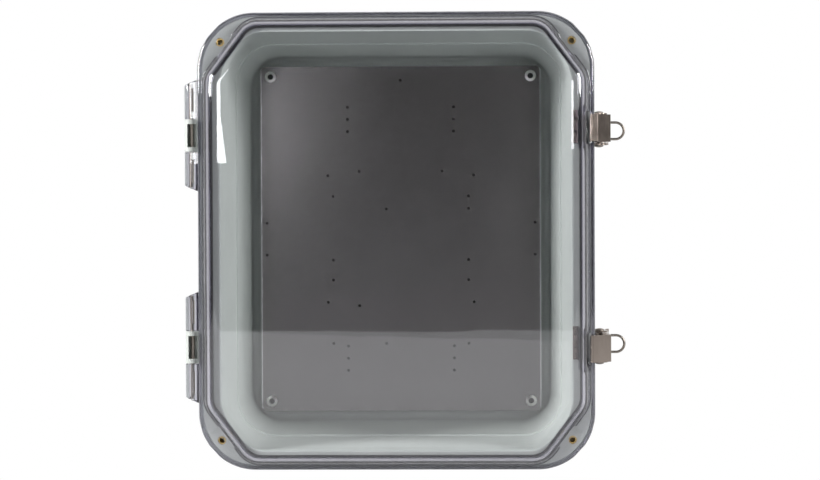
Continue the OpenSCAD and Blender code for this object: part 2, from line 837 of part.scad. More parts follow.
// Claw: eyes on the lever, a narrow neck, a wide plate with a slanted face, and a hook with a rolled tip
module latch_claw(y) {
    tip_x = rim_x - claw_reach;
    mid_x = claw_x - claw_t / 2;
    top_z = claw_z + claw_t / 2;
    color(STEEL) upright() translate([0, y, 0]) difference() {
        union() {
            across(tab_half - lever_t, tab_half) {
                translate([hook_x, hook_z]) circle(eye_r);
                polygon([
                    [hook_x, hook_z - eye_r],
                    [claw_x, hook_z - eye_r],
                    [claw_x, neck_z],
                    [claw_x - claw_t, neck_z],
                    [hook_x + claw_t, hook_z + eye_r],
                    [hook_x, hook_z + eye_r]
                ]);
            }
            translate([claw_x - claw_t, -tab_half, hook_z - eye_r])
                cube([claw_t, 2 * tab_half, neck_z - hook_z + eye_r]);
            across_all(claw_half) {
                sheet([
                    [mid_x, neck_z],
                    [mid_x, top_z - claw_slant],
                    [mid_x - claw_slant, top_z],
                    [tip_x + tip_r, top_z]
                ], claw_t);
                translate([tip_x + tip_r, claw_z + tip_r]) circle(tip_r);
            }
        }
        cross_pin(hook_x, hook_z, claw_pin_r + run_gap, tab_half + over);
    }
}

module claw_pin(y) {
    color(STEEL) upright() translate([0, y, 0]) cross_pin(hook_x, hook_z, claw_pin_r, lever_half);
}

enclosure_base();
cover();
gasket();
back_panel();
panel_screws();
panel_inserts();
flange_inserts();
wall_inserts();
hinge_pin(1);  // hinge_pin_upper
hinge_pin(-1);  // hinge_pin_lower
latch_bracket(upper_latch_y);  // upper_latch_bracket
latch_bracket(lower_latch_y);  // lower_latch_bracket
latch_staple(upper_latch_y);  // upper_latch_staple
latch_staple(lower_latch_y);  // lower_latch_staple
backing_plate(upper_plate_y);  // upper_backing_plate
backing_plate(lower_plate_y);  // lower_backing_plate
backing_screws();
latch_screws();
latch_nuts();
latch_lever(upper_latch_y);  // upper_latch_lever
latch_lever(lower_latch_y);  // lower_latch_lever
lever_pin(upper_latch_y);  // upper_lever_pin
lever_pin(lower_latch_y);  // lower_lever_pin
latch_claw(upper_latch_y);  // upper_latch_claw
latch_claw(lower_latch_y);  // lower_latch_claw
claw_pin(upper_latch_y);  // upper_claw_pin
claw_pin(lower_latch_y);  // lower_claw_pin
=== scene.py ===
"""Looks of a weatherproof wall enclosure: the finish of each piece, the clear cover and a plain studio.

The row frame has x to the right, z up and the cover facing -y, in metres. Shapes are drawn in the
moulding frame, in millimetres: x to the right, y up and z out of the wall.
"""

import math

import bmesh
import bpy
from mathutils import Matrix, Quaternion, Vector


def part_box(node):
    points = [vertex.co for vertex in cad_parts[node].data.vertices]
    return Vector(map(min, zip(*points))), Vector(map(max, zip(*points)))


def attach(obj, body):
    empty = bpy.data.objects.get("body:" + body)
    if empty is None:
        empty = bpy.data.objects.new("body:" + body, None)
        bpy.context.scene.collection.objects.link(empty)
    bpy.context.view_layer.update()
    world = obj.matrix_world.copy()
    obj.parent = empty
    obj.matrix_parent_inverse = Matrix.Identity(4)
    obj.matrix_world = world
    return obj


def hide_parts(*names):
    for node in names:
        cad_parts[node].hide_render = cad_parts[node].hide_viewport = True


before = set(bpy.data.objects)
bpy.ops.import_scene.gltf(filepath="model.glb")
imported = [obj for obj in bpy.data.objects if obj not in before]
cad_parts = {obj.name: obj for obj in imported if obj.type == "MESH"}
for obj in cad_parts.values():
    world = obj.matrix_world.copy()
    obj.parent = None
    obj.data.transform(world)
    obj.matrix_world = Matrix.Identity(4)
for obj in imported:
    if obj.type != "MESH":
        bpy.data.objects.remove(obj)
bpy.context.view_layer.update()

MM = 0.001
DIAGONAL = Vector((1, 1, 1))

# Signs of the two coordinates in each quarter, in turn round the middle
QUARTERS = ((1, 1), (-1, 1), (-1, -1), (1, -1))

# Nodes that the cover is fitted to
HINGE_PINS = ("hinge_pin_upper", "hinge_pin_lower")
CLAWS = ("upper_latch_claw", "lower_latch_claw")

# Clear cover, in millimetres: its reach comes from the frame, its sections are the moulding's
cover_low, cover_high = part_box("cover")
RIM_X = cover_high.x / MM
RIM_Y = cover_high.z / MM
DOME_Z = -cover_low.y / MM
DOME_H = 25
RIM_Z = DOME_Z - DOME_H

# Rim of the cover with the ledge on top of it, and the skirt under its edge
RIM_T = 4
RIM_R = 41
RIM_ROUND = 2.4
RIM_UNDER_Z = RIM_Z - RIM_T
LEDGE_SLOPE = 0.06
SKIRT_T = 3
SKIRT_H = 14.5
SKIRT_ROUND = 0.4
SKIRT_Z = RIM_Z - SKIRT_H

# Dome: a foot inside the rim's edge, cut corners, a leaning wall, a round shoulder and a flat front
DOME_LEDGE = 3.7
DOME_T = 3.5
DOME_R = 21
DOME_LEAN = math.radians(10)
FOOT_X = RIM_X - DOME_LEDGE
FOOT_Y = RIM_Y - DOME_LEDGE
FOOT_ROUND = 0.9
CUT_X = 31.5
CUT_Y = 42
CUT_ANGLE = math.atan2(CUT_X, CUT_Y)
SHOULDER_R = 12
SHOULDER_Z = DOME_Z - SHOULDER_R
FLAT_EDGE = 1.5

# Corner screws, and the recesses that the dome's wall has for them and for the claws
INSERT_R = 3.1
insert_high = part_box("flange_inserts")[1] / MM
SCREW_X = insert_high.x - INSERT_R
SCREW_Y = insert_high.z - INSERT_R
SCREW_ROOM = 7.5
SCREW_HOLE_R = 2.35
RECESS_L = 19
RECESS_ROUND = 0.7
CLAW_ROOM = 1.7
CLAW_TIP_ROOM = 3.6

# Hinge knuckles of the cover, with a slot over the pin in each
KNUCKLE_R = 5
KNUCKLE_START = 12
KNUCKLE_END = 41.5
KNUCKLE_SLOPE = 5
KNUCKLE_ROOT = 7.5
KNUCKLE_ROOT_LOW = 1
KNUCKLE_ROUND = 0.45
SLOT_LOW_X = 0.4
SLOT_HIGH_X = 2.6
SLOT_MID = 25.75
SLOT_HALF = 8.4
PIN_BORE = 1.58
BORE_OVER = 1

# Facets of the cover: steps in each bend or stretch, and the length of a step on a long side
ARC_STEPS = 10
SHOULDER_STEPS = 12
WALL_STEPS = 7
LEDGE_STEPS = 4
ROUND_STEPS = 6
RECESS_STEPS = 4
KNUCKLE_STEPS = 40
ROD_SIDES = 40
SIDE_STEP = 14

# Angle in degrees from which an edge of the cover is crisp
CREASE = 28

# Steps that look for the rim's edge along a heading
SEEK_STEPS = 40

# Least room between a place on a straight side and the side's ends
END_ROOM = 0.2

# Cosine of the angle between headings that count as equal
SAME_HEADING = 0.999

# Share of the rim's underside that its blunted inner edge takes
MOUTH_SHARE = 0.02

# Roughness of the cover's sides and of its front
SIDE_ROUGH = 0.16
FRONT_ROUGH = 0.012

# Panel screws: the head's radius, and the socket's, which is painted dark as shade
SCREW_HEAD_R = 4.4
SOCKET_R = 2.2

# Back panel: the width of the painted highlight along its left and right edges, and how far inside its
# edges the painted shade behind it starts
EDGE_HIGHLIGHT_W = 0.9
SHADE_IN = 2.5

# Share of the panel's colour that soft patches make, and streaks the rest
PATCH_SHARE = 0.7

# Tub: its corner centres, the corner's radius at the floor, the lean of its wall, and its floor
TUB_CORE_X = 93
TUB_CORE_Y = 118.4
TUB_FLOOR_R = 24
TUB_LEAN = 0.0713
FLOOR_T = 4
FLOOR_MIDDLE = -FLOOR_T / 2 * MM

# How far in the tub's wall the painted shade on its outside starts
OUTSIDE_SHADE_IN = 1.5

# Studio floor: its height, half its side, and between which distances it runs into white, in metres
FLOOR_Z = -0.4
FLOOR_HALF = 6
FLOOR_FADE = (0.45, 1.15)

# Lamps, in metres: two large ones beside the object, and three that its cover mirrors
SIDE_LAMP_X = 1.54
SIDE_LAMP_Y = -0.72
SIDE_LAMP_Z = 0.54
SIDE_LAMP_SIZE = (0.4, 0.7)
SIDE_LAMP_AIM = Vector((0, -0.1, 0))
STRIP_Y = -1.37
LEFT_STRIP = ((-0.5, 0.0882), (-0.253, 0.085), (-0.271, 0.225), (-0.5, 0.225))
LEFT_STRIP_UNEVEN = 0.05
RIGHT_STRIP_AT = Vector((0.43, STRIP_Y, 0.16))
RIGHT_STRIP_SIZE = (0.26, 0.115)
LOW_CARD_AT = Vector((-0.075, -2.2, -0.315))
LOW_CARD_SIZE = (0.65, 0.25)
LOW_CARD_ROLL = -1.6
STRAIGHT_BACK = Vector((0, 1, 0))

# Camera: where it stands in metres, how it is turned in degrees, and its focal length in pixels
CAMERA_AT = (0.0436, -1.6259, 0.0206)
CAMERA_YAW = 1.298
CAMERA_PITCH = -0.77
CAMERA_ROLL = 0.236
IMAGE_W = 820
FOCAL_PX = 2056
SENSOR = 36


def upright(x, y, z):
    """A point of the moulding frame, in millimetres, in the row frame."""
    return Vector((x, -z, y)) * MM


def middle(node):
    """Middle of a CAD node in the moulding frame, in millimetres."""
    low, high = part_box(node)
    mid = (low + high) / 2 / MM
    return mid.x, mid.z, -mid.y


def between(low, high, steps):
    """Values from low to high, both included."""
    return [low + (high - low) * i / steps for i in range(steps + 1)]


# Nodes of materials

WHITE = (1, 1, 1)


def new_material(name):
    """An empty node material, and its tree of nodes."""
    material = bpy.data.materials.new(name)
    material.use_nodes = True
    material.node_tree.nodes.clear()
    return material, material.node_tree


def input_of(node, key):
    """An input by its number, written as _0, or by its name, with spaces written as _."""
    number = key[1:]
    if number.isdigit():
        return node.inputs[int(number)]
    return node.inputs[key.replace("_", " ")]


def add(tree, kind, settings=None, **inputs):
    """Adds a node. Inputs are values or sockets, under the keys that input_of() reads."""
    node = tree.nodes.new(kind)
    for key, value in (settings or {}).items():
        setattr(node, key, value)
    for key, value in inputs.items():
        socket = input_of(node, key)
        if isinstance(value, bpy.types.NodeSocket):
            tree.links.new(value, socket)
        else:
            socket.default_value = value
    return node


def calculate(tree, operation, first, second=0):
    """The result of an operation on one or two values or sockets."""
    return add(tree, "ShaderNodeMath", {"operation": operation}, _0=first, _1=second).outputs[0]


def spread(tree, value, low, high, start=0.3, end=0.7):
    """Maps start..end, by default a texture's middle range, to low..high."""
    return add(tree, "ShaderNodeMapRange", Value=value, From_Min=start, From_Max=end, To_Min=low,
               To_Max=high).outputs["Result"]


def colour_between(tree, value, dark, pale):
    """Mixes two colours, written or from a socket, by a value from 0 to 1."""
    low, high = ((*c, 1) if isinstance(c, tuple) else c for c in (dark, pale))
    return add(tree, "ShaderNodeMix", {"data_type": "RGBA"}, _0=value, _6=low, _7=high).outputs[2]


def own_place(tree):
    """The piece's own place in metres."""
    return add(tree, "ShaderNodeTexCoord").outputs["Object"]


def parts_of(tree, vector):
    """X, Y and Z of a vector."""
    return add(tree, "ShaderNodeSeparateXYZ", Vector=vector).outputs


def noise(tree, waves, detail, stretch=(1, 1, 1)):
    """Noise from 0 to 1 over the piece's own place, with about so many waves in a metre."""
    place = add(tree, "ShaderNodeMapping", Vector=own_place(tree), Scale=stretch).outputs["Vector"]
    return add(tree, "ShaderNodeTexNoise", Vector=place, Scale=waves, Detail=detail,
               Roughness=0.55).outputs["Fac"]


def bump(tree, height, strength, distance):
    """A normal that a height tilts."""
    return add(tree, "ShaderNodeBump", Height=height, Strength=strength,
               Distance=distance).outputs["Normal"]


def past(tree, value, limit):
    """How far a coordinate is past a limit, on either side of the middle."""
    return calculate(tree, "SUBTRACT", calculate(tree, "ABSOLUTE", value), limit)


def length_of(tree, x, z):
    """Length of a vector with two parts."""
    squares = [calculate(tree, "MULTIPLY", part, part) for part in (x, z)]
    return calculate(tree, "SQRT", calculate(tree, "ADD", *squares))


def principled(tree, **inputs):
    """The shader that every finish starts from."""
    return add(tree, "ShaderNodeBsdfPrincipled", **inputs).outputs["BSDF"]


def mix(tree, share, first, second):
    """Two shaders, mixed by the share of the second."""
    return add(tree, "ShaderNodeMixShader", _0=share, _1=first, _2=second).outputs["Shader"]


def light_path(tree):
    """What kind of ray it is that meets the material."""
    return add(tree, "ShaderNodeLightPath").outputs


def finish_with(tree, shader):
    """Makes a shader the material's surface."""
    return add(tree, "ShaderNodeOutputMaterial", Surface=shader)


# Materials

def painted_shade_behind_panel(tree, place):
    """1 in the space between the panel and the floor of the tub, which is painted near black as shade.
    """
    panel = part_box("back_panel")[1] - DIAGONAL * SHADE_IN * MM
    sideways = past(tree, place["X"], panel.x)
    upwards = past(tree, place["Z"], panel.z)
    under = calculate(tree, "LESS_THAN", calculate(tree, "MAXIMUM", sideways, upwards), 0)
    deep = calculate(tree, "GREATER_THAN", place["Y"], panel.y)
    inside = calculate(tree, "LESS_THAN", place["Y"], FLOOR_MIDDLE)
    return calculate(tree, "MULTIPLY", under, calculate(tree, "MULTIPLY", deep, inside))


def outside_shade_mask(tree, place):
    """1 on the outside of the base and on its flange, beyond the middle of the tub's wall, where the
    base is painted darker as shade.
    """
    corner_x = calculate(tree, "MAXIMUM", past(tree, place["X"], TUB_CORE_X * MM), 0)
    corner_z = calculate(tree, "MAXIMUM", past(tree, place["Z"], TUB_CORE_Y * MM), 0)
    lean = calculate(tree, "MULTIPLY", place["Y"], TUB_LEAN)
    reach = calculate(tree, "ADD", length_of(tree, corner_x, corner_z), lean)
    beside = calculate(tree, "GREATER_THAN", reach, (TUB_FLOOR_R + OUTSIDE_SHADE_IN) * MM)
    back = calculate(tree, "GREATER_THAN", place["Y"], FLOOR_MIDDLE)
    return calculate(tree, "MAXIMUM", beside, back)


def grey_moulding():
    """Light grey polycarbonate with a fine spark texture, painted darker outside and near black behind
    the panel as shade.
    """
    material, tree = new_material("grey_moulding")
    clouds = spread(tree, noise(tree, waves=35, detail=4), 0, 1)
    grain = noise(tree, waves=1900, detail=2)
    place = parts_of(tree, own_place(tree))
    plain = colour_between(tree, clouds, dark=(0.592, 0.632, 0.594), pale=(0.627, 0.667, 0.629))
    # Painted shade: a darker copy of the grey for the outside, which the lamps light more than the
    # inside
    shaded_outside_colour = colour_between(tree, clouds, dark=(0.445, 0.467, 0.443), pale=(0.485, 0.507, 0.483))
    lit = colour_between(tree, outside_shade_mask(tree, place), plain, shaded_outside_colour)
    shader = principled(
        tree,
        # Painted shade: the floor behind the panel, seen only through its holes, is painted near black
        Base_Color=colour_between(tree, painted_shade_behind_panel(tree, place), lit, (0.02, 0.02, 0.02)),
        Roughness=spread(tree, grain, 0.42, 0.58),
        Normal=bump(tree, grain, strength=0.35, distance=0.0002),
    )
    finish_with(tree, shader)
    return material


def clear_moulding():
    """Clear polycarbonate, smoky where light runs far in it, with a polished front and duller sides.

    Rays that a piece inside scatters or mirrors go straight through it.
    """
    material, tree = new_material("clear_moulding")
    wave = noise(tree, waves=14, detail=1)
    haze = noise(tree, waves=260, detail=4)
    normal = add(tree, "ShaderNodeTexCoord").outputs["Normal"]
    forward = calculate(tree, "ABSOLUTE", parts_of(tree, normal)["Y"])
    polish = spread(tree, forward, SIDE_ROUGH, FRONT_ROUGH, start=0.3, end=0.96)
    tint = colour_between(tree, spread(tree, haze, 0, 1), dark=(0.95, 0.955, 0.965),
                          pale=(0.98, 0.985, 0.99))
    shader = principled(
        tree,
        Base_Color=tint,
        Transmission_Weight=1.0,
        IOR=1.58,
        Roughness=calculate(tree, "MULTIPLY", polish, spread(tree, haze, 0.8, 1.2)),
        Normal=bump(tree, wave, strength=0.02, distance=0.002),
    )
    path = light_path(tree)
    two_faces_passed = calculate(tree, "GREATER_THAN", path["Transmission Depth"], 1.5)
    mirrored = calculate(tree, "MULTIPLY", path["Is Glossy Ray"], two_faces_passed)
    from_inside = calculate(tree, "MAXIMUM", path["Is Diffuse Ray"], mirrored)
    open_way = add(tree, "ShaderNodeBsdfTransparent", Color=(0.94, 0.945, 0.95, 1))
    smoke = add(tree, "ShaderNodeVolumeAbsorption", Color=(0.45, 0.435, 0.52, 1), Density=120.0)
    output = finish_with(tree, mix(tree, from_inside, shader, open_way.outputs["BSDF"]))
    tree.links.new(smoke.outputs["Volume"], output.inputs["Volume"])
    return material


def panel_aluminium():
    """Mill-finish sheet: soft patches, faint rolling streaks and a painted highlight along its left and
    right edges.
    """
    material, tree = new_material("panel_aluminium")
    streak = noise(tree, waves=120, detail=1, stretch=(1, 1, 0.1))
    patch = noise(tree, waves=18, detail=1, stretch=(1, 1, 0.6))
    patches = spread(tree, patch, 0, PATCH_SHARE, start=0, end=1)
    streaks = spread(tree, streak, 0, 1 - PATCH_SHARE, start=0, end=1)
    both = calculate(tree, "ADD", patches, streaks)
    sheet = colour_between(tree, both, dark=(0.187, 0.181, 0.173), pale=(0.252, 0.245, 0.234))
    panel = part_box("back_panel")[1]
    beyond = past(tree, parts_of(tree, own_place(tree))["X"], panel.x)
    # Painted highlight: a pale band along the left and right edges, where a sheared edge would catch the
    # side lamps
    edge_highlight = calculate(tree, "GREATER_THAN", beyond, -EDGE_HIGHLIGHT_W * MM)
    shader = principled(
        tree,
        Base_Color=colour_between(tree, edge_highlight, sheet, (0.7, 0.69, 0.68)),
        Metallic=1.0,
        Roughness=spread(tree, patch, 0.24, 0.26, start=0, end=1),
    )
    finish_with(tree, shader)
    return material


def metal(name, waves, detail, dark, pale, smooth_at, rough_at):
    """A metal with a cloudy colour that is rougher where it is paler."""
    material, tree = new_material(name)
    cloud = noise(tree, waves, detail)
    shader = principled(
        tree,
        Base_Color=colour_between(tree, spread(tree, cloud, 0, 1), dark, pale),
        Metallic=1.0,
        Roughness=spread(tree, cloud, smooth_at, rough_at),
    )
    finish_with(tree, shader)
    return material


def stainless():
    """Pressed steel with a warm cast."""
    return metal("stainless", waves=160, detail=3, dark=(0.30, 0.255, 0.225), pale=(0.335, 0.288, 0.255),
                 smooth_at=0.14, rough_at=0.19)


def drawn_steel():
    """Duller wire and pins."""
    return metal("drawn_steel", waves=160, detail=3, dark=(0.24, 0.215, 0.19), pale=(0.28, 0.25, 0.225),
                 smooth_at=0.32, rough_at=0.4)


def brass():
    """Turned brass, a little dulled."""
    return metal("brass", waves=300, detail=4, dark=(0.48, 0.33, 0.11), pale=(0.66, 0.48, 0.18),
                 smooth_at=0.24, rough_at=0.42)


def screw_steel():
    """Bright screw heads, each with painted shade in its socket."""
    material, tree = new_material("screw_steel")
    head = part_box("panel_screws")[1] - DIAGONAL * SCREW_HEAD_R * MM
    place = parts_of(tree, own_place(tree))
    off = length_of(tree, past(tree, place["X"], head.x), past(tree, place["Z"], head.z))
    on_head = calculate(tree, "GREATER_THAN", off, SOCKET_R * MM)
    clouds = spread(tree, noise(tree, waves=400, detail=2), 0, 1)
    bright = colour_between(tree, clouds, dark=(0.88, 0.86, 0.83), pale=(0.94, 0.92, 0.89))
    shader = principled(
        tree,
        # Painted shade: the socket is painted near black and not metallic
        Base_Color=colour_between(tree, on_head, (0.015, 0.015, 0.015), bright),
        Metallic=on_head,
        Roughness=spread(tree, on_head, 0.7, 0.3, start=0, end=1),
    )
    finish_with(tree, shader)
    return material


def seal_rubber():
    """Grey-black foam seal."""
    material, tree = new_material("seal_rubber")
    pores = noise(tree, waves=1500, detail=3)
    foam = colour_between(tree, spread(tree, pores, 0, 1), dark=(0.02, 0.02, 0.022),
                          pale=(0.05, 0.05, 0.053))
    shader = principled(
        tree,
        Base_Color=foam,
        Roughness=spread(tree, pores, 0.6, 0.85),
        Normal=bump(tree, pores, strength=0.4, distance=0.0003),
    )
    finish_with(tree, shader)
    return material


MATERIALS = {make.__name__: make() for make in
             (grey_moulding, clear_moulding, panel_aluminium, stainless, drawn_steel, screw_steel, brass,
              seal_rubber)}


# Outlines of the clear cover

def heading(angle):
    """A step of length 1 at an angle from the x axis."""
    return Vector((math.cos(angle), math.sin(angle)))


def dome_corners():
    """Centre of each round corner of the dome's outline, and the headings between which it turns."""
    slant = math.hypot(CUT_X, CUT_Y)
    # CUT_Y * x + CUT_X * y is this along the cut, moved in by the radius of its corners
    line = CUT_Y * FOOT_X + CUT_X * FOOT_Y - CUT_X * CUT_Y - DOME_R * slant
    side_x = FOOT_X - DOME_R
    end_y = FOOT_Y - DOME_R
    side = Vector((side_x, (line - CUT_Y * side_x) / CUT_X))
    end = Vector(((line - CUT_X * end_y) / CUT_Y, end_y))
    bends = [(side, 0, CUT_ANGLE), (end, CUT_ANGLE, math.pi / 2)]
    corners = []
    for flip_x, flip_y in QUARTERS:
        turn = flip_x * flip_y
        for centre, low, high in bends[::turn]:
            start, stop = (math.atan2(flip_y * math.sin(a), flip_x * math.cos(a))
                           for a in (low, high)[::turn])
            if stop < start:
                stop += 2 * math.pi
            corners.append((Vector((centre.x * flip_x, centre.y * flip_y)), start, stop))
    return corners


def dome_recesses():
    """Flat-backed recesses in the dome's wall: heading, middle, half length and distance of the back."""
    recesses = []
    cut = heading(CUT_ANGLE)
    for flip_x, flip_y in QUARTERS:
        out = Vector((cut.x * flip_x, cut.y * flip_y))
        at = Vector((SCREW_X * flip_x, SCREW_Y * flip_y))
        recesses.append((out, at, RECESS_L / 2, at.dot(out) - SCREW_ROOM))
    for claw in CLAWS:
        claw_low, claw_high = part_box(claw)
        at = Vector((RIM_X, middle(claw)[1]))
        half = (claw_high.z - claw_low.z) / 2 / MM + CLAW_ROOM
        recesses.append((heading(0), at, half, claw_low.x / MM - CLAW_TIP_ROOM))
    return recesses


RECESSES = dome_recesses()


def side_marks(length):
    """Even steps along a straight side of the dome's outline. A short side has none."""
    if length <= 2 * SIDE_STEP:
        return []
    return between(0, length, round(length / SIDE_STEP))[1:-1]


def recess_marks(centre, along, out):
    """Places along a straight side where its recesses bend, on the outside and inside of the wall."""
    marks = []
    for face, at, half, _ in RECESSES:
        if face.dot(out) < SAME_HEADING:
            continue
        mid = (at - centre).dot(along)
        for reach in (half, half + DOME_T):
            for edge in (mid - reach, mid + reach):
                marks += between(edge - RECESS_ROUND, edge + RECESS_ROUND, RECESS_STEPS)
    return marks


def dome_samples():
    """Places round the dome's outline: the centre that each swings about, and its outward heading."""
    samples = []
    corners = dome_corners()
    for corner, following in zip(corners, corners[1:] + corners[:1]):
        centre, start, stop = corner
        samples += [(centre, heading(a)) for a in between(start, stop, ARC_STEPS)]
        out = heading(stop)
        run = following[0] - centre
        along = run.normalized()
        marks = sorted(side_marks(run.length) + recess_marks(centre, along, out))
        samples += [(centre + along * m, out) for m in marks if END_ROOM < m < run.length - END_ROOM]
    return samples


SAMPLES = dome_samples()


def eased(share):
    """A smooth step from 0 to 1."""
    share = min(1, max(0, share))
    return share * share * (3 - 2 * share)


def dome_ring(inset, z, grow=0.0):
    """Outline of the dome at height z, `inset` inside its foot, with its recesses `grow` larger."""
    ring = []
    for centre, out in SAMPLES:
        p = centre + out * (DOME_R - inset)
        for face, at, half, back in RECESSES:
            over = max(0, p.dot(face) - (back - grow))
            side = abs((p - at).dot(Vector((-face.y, face.x))))
            p = p - face * over * eased((half + grow - side) / (2 * RECESS_ROUND) + 1 / 2)
        ring.append(upright(p.x, p.y, z))
    return ring


def rim_ring(inset, z, slope=0.0):
    """Outline of the rim, `inset` inside its edge, opposite each place of the dome's outline.

    It lies at height z, less the slope times the distance from the dome's foot.
    """
    ring = []
    radius = RIM_R - inset
    for centre, out in SAMPLES:
        p = centre + out * DOME_R
        for _ in range(SEEK_STEPS):
            x = abs(p.x) - (RIM_X - RIM_R)
            y = abs(p.y) - (RIM_Y - RIM_R)
            # How far p lies outside the rounded outline
            far = math.hypot(max(x, 0), max(y, 0)) + min(max(x, y), 0) - radius
            p = p - out * far
        ledge = (p - centre).dot(out) - DOME_R
        ring.append(upright(p.x, p.y, z - slope * ledge))
    return ring


def ring_between(a, b, share):
    """A ring some share of the way from one to another."""
    return [p.lerp(q, share) for p, q in zip(a, b)]


def rim_edge_ring(angle):
    """Ring in the round of the rim's upper edge."""
    drop = RIM_ROUND * (1 - math.sin(angle))
    return rim_ring(RIM_ROUND * (1 - math.cos(angle)), RIM_Z - drop, LEDGE_SLOPE)


def foot_ring(angle):
    """Ring in the fillet between the ledge and the dome's wall."""
    out = FOOT_ROUND * (1 - math.sin(angle))
    return dome_ring(-out, RIM_Z + FOOT_ROUND * (1 - math.cos(angle)), -out)


def wall_inset(z):
    """How far inside its foot the dome's leaning wall is at height z."""
    return (z - RIM_Z) * math.tan(DOME_LEAN)


SHOULDER_IN = wall_inset(SHOULDER_Z) + SHOULDER_R / math.cos(DOME_LEAN)


def shoulder_ring(radius, angle, grow=0.0):
    """Ring in the round of the dome's shoulder."""
    return dome_ring(SHOULDER_IN - radius * math.cos(angle), SHOULDER_Z + radius * math.sin(angle), grow)


def cover_outside():
    """Rings up the outside of the cover, from the skirt's foot to the flat front."""
    rings = [rim_ring(SKIRT_ROUND, SKIRT_Z), rim_ring(0, SKIRT_Z + SKIRT_ROUND)]
    rings += [rim_edge_ring(a) for a in between(0, math.pi / 2, ROUND_STEPS)]
    edge = rings[-1]
    foot = [foot_ring(a) for a in between(0, math.pi / 2 - DOME_LEAN, ROUND_STEPS)]
    rings += [ring_between(edge, foot[0], i / LEDGE_STEPS) for i in range(1, LEDGE_STEPS)]
    rings += foot
    rings += [dome_ring(wall_inset(z), z) for z in between(RIM_Z + FOOT_ROUND, SHOULDER_Z, WALL_STEPS)]
    rings += [shoulder_ring(SHOULDER_R, a) for a in between(DOME_LEAN, math.pi / 2, SHOULDER_STEPS)]
    rings.append(dome_ring(SHOULDER_IN + FLAT_EDGE, DOME_Z))
    return rings


def cover_inside():
    """Rings down the inside of the cover, from the flat front to the skirt's foot."""
    rings = [dome_ring(SHOULDER_IN + FLAT_EDGE, DOME_Z - DOME_T, DOME_T)]
    for a in between(math.pi / 2, DOME_LEAN, SHOULDER_STEPS):
        rings.append(shoulder_ring(SHOULDER_R - DOME_T, a, DOME_T))
    for z in between(SHOULDER_Z, RIM_UNDER_Z + SKIRT_ROUND, WALL_STEPS):
        rings.append(dome_ring(DOME_T / math.cos(DOME_LEAN) + wall_inset(z), z, DOME_T))
    mouth = [p + upright(0, 0, -SKIRT_ROUND) for p in rings[-1]]
    inner = rim_ring(SKIRT_T, RIM_UNDER_Z)
    rings += [ring_between(mouth, inner, share) for share in between(MOUTH_SHARE, 1, LEDGE_STEPS)]
    rings += [rim_ring(SKIRT_T, SKIRT_Z + SKIRT_ROUND), rim_ring(SKIRT_T - SKIRT_ROUND, SKIRT_Z)]
    return rings


# Solids of the clear cover

def mesh_object(name, build, *details):
    """A mesh object whose bmesh is filled by build(bm, *details), with its faces turned outwards."""
    bm = bmesh.new()
    build(bm, *details)
    bmesh.ops.recalc_face_normals(bm, faces=bm.faces)
    mesh = bpy.data.meshes.new(name)
    bm.to_mesh(mesh)
    bm.free()
    made = bpy.data.objects.new(name, mesh)
    bpy.context.scene.collection.objects.link(made)
    return made


def flat_face(bm, points):
    """One face with its corners at some points of the row frame."""
    bm.faces.new([bm.verts.new(p) for p in points])


def capped_skin(bm, rings):
    """Quads between neighbouring rings of points, and a face across the first and the last ring."""
    rows = [[bm.verts.new(p) for p in ring] for ring in rings]
    for low, high in zip(rows, rows[1:]):
        for i in range(len(low)):
            bm.faces.new((low[i - 1], low[i], high[i], high[i - 1]))
    bm.faces.new(rows[0])
    bm.faces.new(rows[-1])


def cover_shell(bm):
    """The moulding without knuckles: down its inside, round the skirt's foot and up its outside."""
    capped_skin(bm, cover_inside() + cover_outside())


def knuckle_outline():
    """Section of a cover knuckle about the hinge axis: a round with a root that runs into the skirt."""
    start = math.asin(KNUCKLE_ROOT_LOW / KNUCKLE_R)
    turns = between(math.pi / 2, 2 * math.pi + start, KNUCKLE_STEPS)
    round_part = [(KNUCKLE_R * math.cos(a), KNUCKLE_R * math.sin(a)) for a in turns]
    return round_part + [(KNUCKLE_ROOT, KNUCKLE_ROOT_LOW), (KNUCKLE_ROOT, KNUCKLE_R)]


def knuckle_rings(axis, side):
    """Rings along a knuckle: a straight end by the base's knuckle, then a slanted one, both blunted."""
    axis_x, axis_y, axis_z = axis
    outline = knuckle_outline()
    slope = KNUCKLE_SLOPE / (KNUCKLE_ROOT + KNUCKLE_R)
    near = [KNUCKLE_START for _ in outline]
    far = [KNUCKLE_END - slope * (KNUCKLE_ROOT - x) for x, _ in outline]
    rings = []
    for ends, inward, tuck in ((near, 0, KNUCKLE_ROUND), (near, KNUCKLE_ROUND, 0),
                               (far, -KNUCKLE_ROUND, 0), (far, 0, KNUCKLE_ROUND)):
        shrink = 1 - tuck / KNUCKLE_R
        ring = []
        for (x, z), reach in zip(outline, ends):
            across = x * shrink if x < KNUCKLE_ROOT else x
            ring.append(upright(axis_x + across, axis_y + side * (reach + inward), axis_z + z * shrink))
        rings.append(ring)
    return rings


def cover_knuckles(bm):
    """Two knuckles for each hinge, one on either side of the base's knuckle."""
    for pin in HINGE_PINS:
        for side in (-1, 1):
            capped_skin(bm, knuckle_rings(middle(pin), side))


def box_at(bm, low, high):
    """A box between two corners of the moulding frame."""
    made = bmesh.ops.create_cube(bm, size=1)["verts"]
    low, high = upright(*low), upright(*high)
    for v in made:
        v.co = Vector([(l + h) / 2 + c * abs(h - l) for l, h, c in zip(low, high, v.co)])


def rod_at(bm, centre, axis, radius, half):
    """A round bar about a point of the moulding frame; axis is a direction in the row frame."""
    turn = Vector((0, 0, 1)).rotation_difference(Vector(axis)).to_matrix().to_4x4()
    place = Matrix.Translation(upright(*centre)) @ turn
    bmesh.ops.create_cone(bm, cap_ends=True, segments=ROD_SIDES, depth=2 * half * MM, matrix=place,
                          radius1=radius * MM, radius2=radius * MM)


